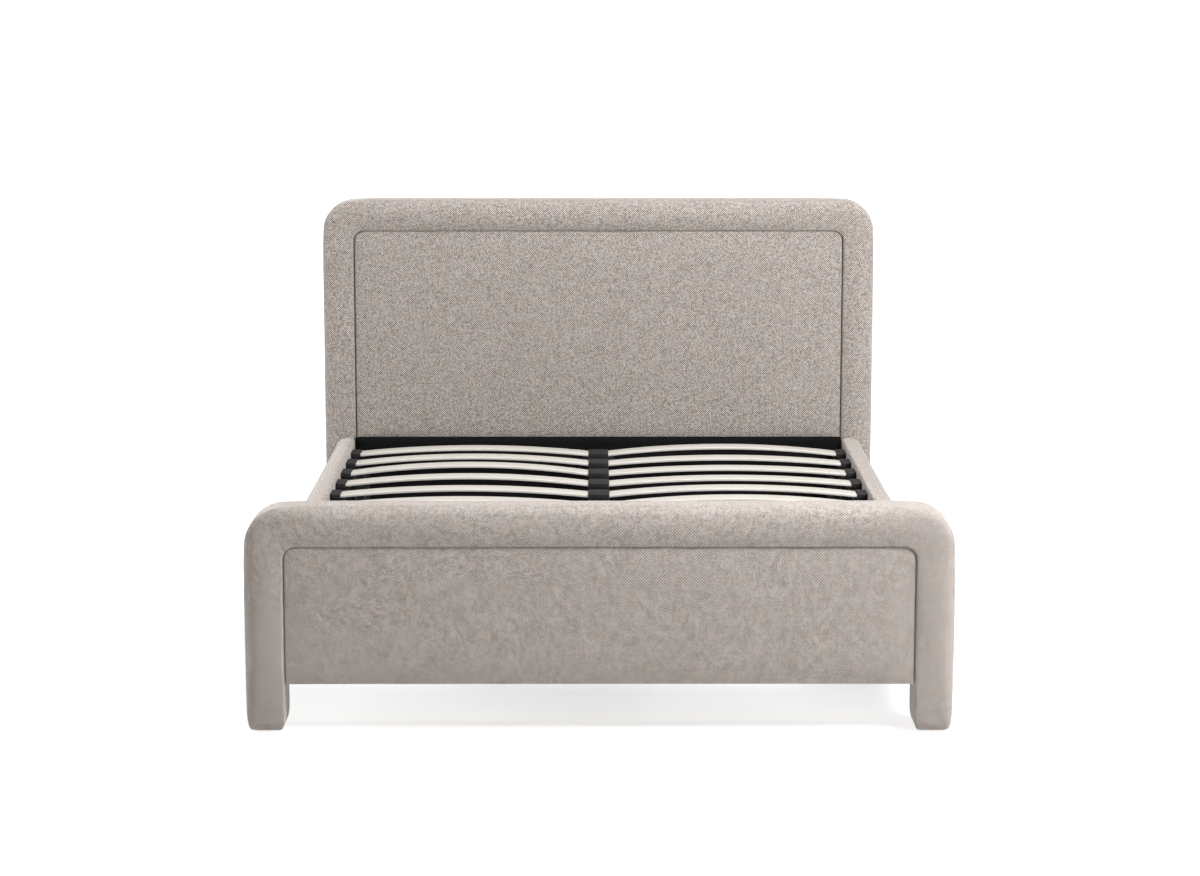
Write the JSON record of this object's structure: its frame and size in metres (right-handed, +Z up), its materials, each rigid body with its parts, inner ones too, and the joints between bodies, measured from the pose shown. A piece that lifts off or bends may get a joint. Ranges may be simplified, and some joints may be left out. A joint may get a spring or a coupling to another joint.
{
  "type": "sleigh bed",
  "caption": "Upholstered bed frame: padded arched headboard and low footboard with inset panels, padded side rails and bowed sprung slats on a centre beam.",
  "frame": {"origin": "on the floor under the middle of the bed's outer box", "axes": "+Y along the bed's length towards the headboard, +X to the right seen from the foot end, +Z up"},
  "size_m": [1.75, 2.32, 1.15],
  "materials": {
    "heather_fabric": "woven two-tone cream and taupe upholstery cloth",
    "black_lining": "matt black non-woven lining",
    "pine_timber": "planed pine, unfinished",
    "plywood": "sanded plywood, unfinished",
    "birch_laminate": "pale bent birch laminate, satin lacquer",
    "black_steel": "black powder coat",
    "black_rubber": "moulded matt black rubber",
    "black_plastic": "moulded black nylon",
    "black_timber": "black stained hardwood"
  },
  "bodies": {
    "bed_frame": {"beam_hanger_foot": "black_steel", "beam_hanger_head": "black_steel", "centre_beam": "black_steel", "centre_leg_front": "black_timber", "centre_leg_rear": "black_timber", "foot_bracket_left": "black_steel", "foot_bracket_right": "black_steel", "footboard_board": "plywood", "footboard_border": "heather_fabric", "footboard_frame": "pine_timber", "footboard_glide_left": "black_plastic", "footboard_glide_right": "black_plastic", "footboard_inner_cover": "heather_fabric", "footboard_lower_rail": "pine_timber", "footboard_panel": "heather_fabric", "head_bracket_left": "black_steel", "head_bracket_right": "black_steel", "headboard_board": "plywood", "headboard_border": "heather_fabric", "headboard_frame": "pine_timber", "headboard_glide_left": "black_plastic", "headboard_glide_right": "black_plastic", "headboard_lining": "black_lining", "headboard_lower_rail": "pine_timber", "headboard_panel": "heather_fabric", "headboard_rear_cover": "heather_fabric", "rail_board_left": "pine_timber", "rail_board_right": "pine_timber", "rail_cover_left": "heather_fabric", "rail_cover_right": "heather_fabric", "slat_caps_left": "black_rubber", "slat_caps_right": "black_rubber", "slat_holders": "black_rubber", "slat_ledge_left": "black_steel", "slat_ledge_right": "black_steel", "slat_left_01": "birch_laminate", "slat_left_02": "birch_laminate", "slat_left_03": "birch_laminate", "slat_left_04": "birch_laminate", "slat_left_05": "birch_laminate", "slat_left_06": "birch_laminate", "slat_left_07": "birch_laminate", "slat_left_08": "birch_laminate", "slat_left_09": "birch_laminate", "slat_left_10": "birch_laminate", "slat_left_11": "birch_laminate", "slat_right_01": "birch_laminate", "slat_right_02": "birch_laminate", "slat_right_03": "birch_laminate", "slat_right_04": "birch_laminate", "slat_right_05": "birch_laminate", "slat_right_06": "birch_laminate", "slat_right_07": "birch_laminate", "slat_right_08": "birch_laminate", "slat_right_09": "birch_laminate", "slat_right_10": "birch_laminate", "slat_right_11": "birch_laminate"},
    "front_foot": {"levelling_foot_front": "black_plastic"},
    "rear_foot": {"levelling_foot_rear": "black_plastic"}
  },
  "joints": [
    {"name": "front_foot_screw", "type": "slide", "parent": "bed_frame", "child": "front_foot", "axis": [0, 0, 1], "range_m": [0, 0.012]},
    {"name": "rear_foot_screw", "type": "slide", "parent": "bed_frame", "child": "rear_foot", "axis": [0, 0, 1], "range_m": [0, 0.012]}
  ]
}
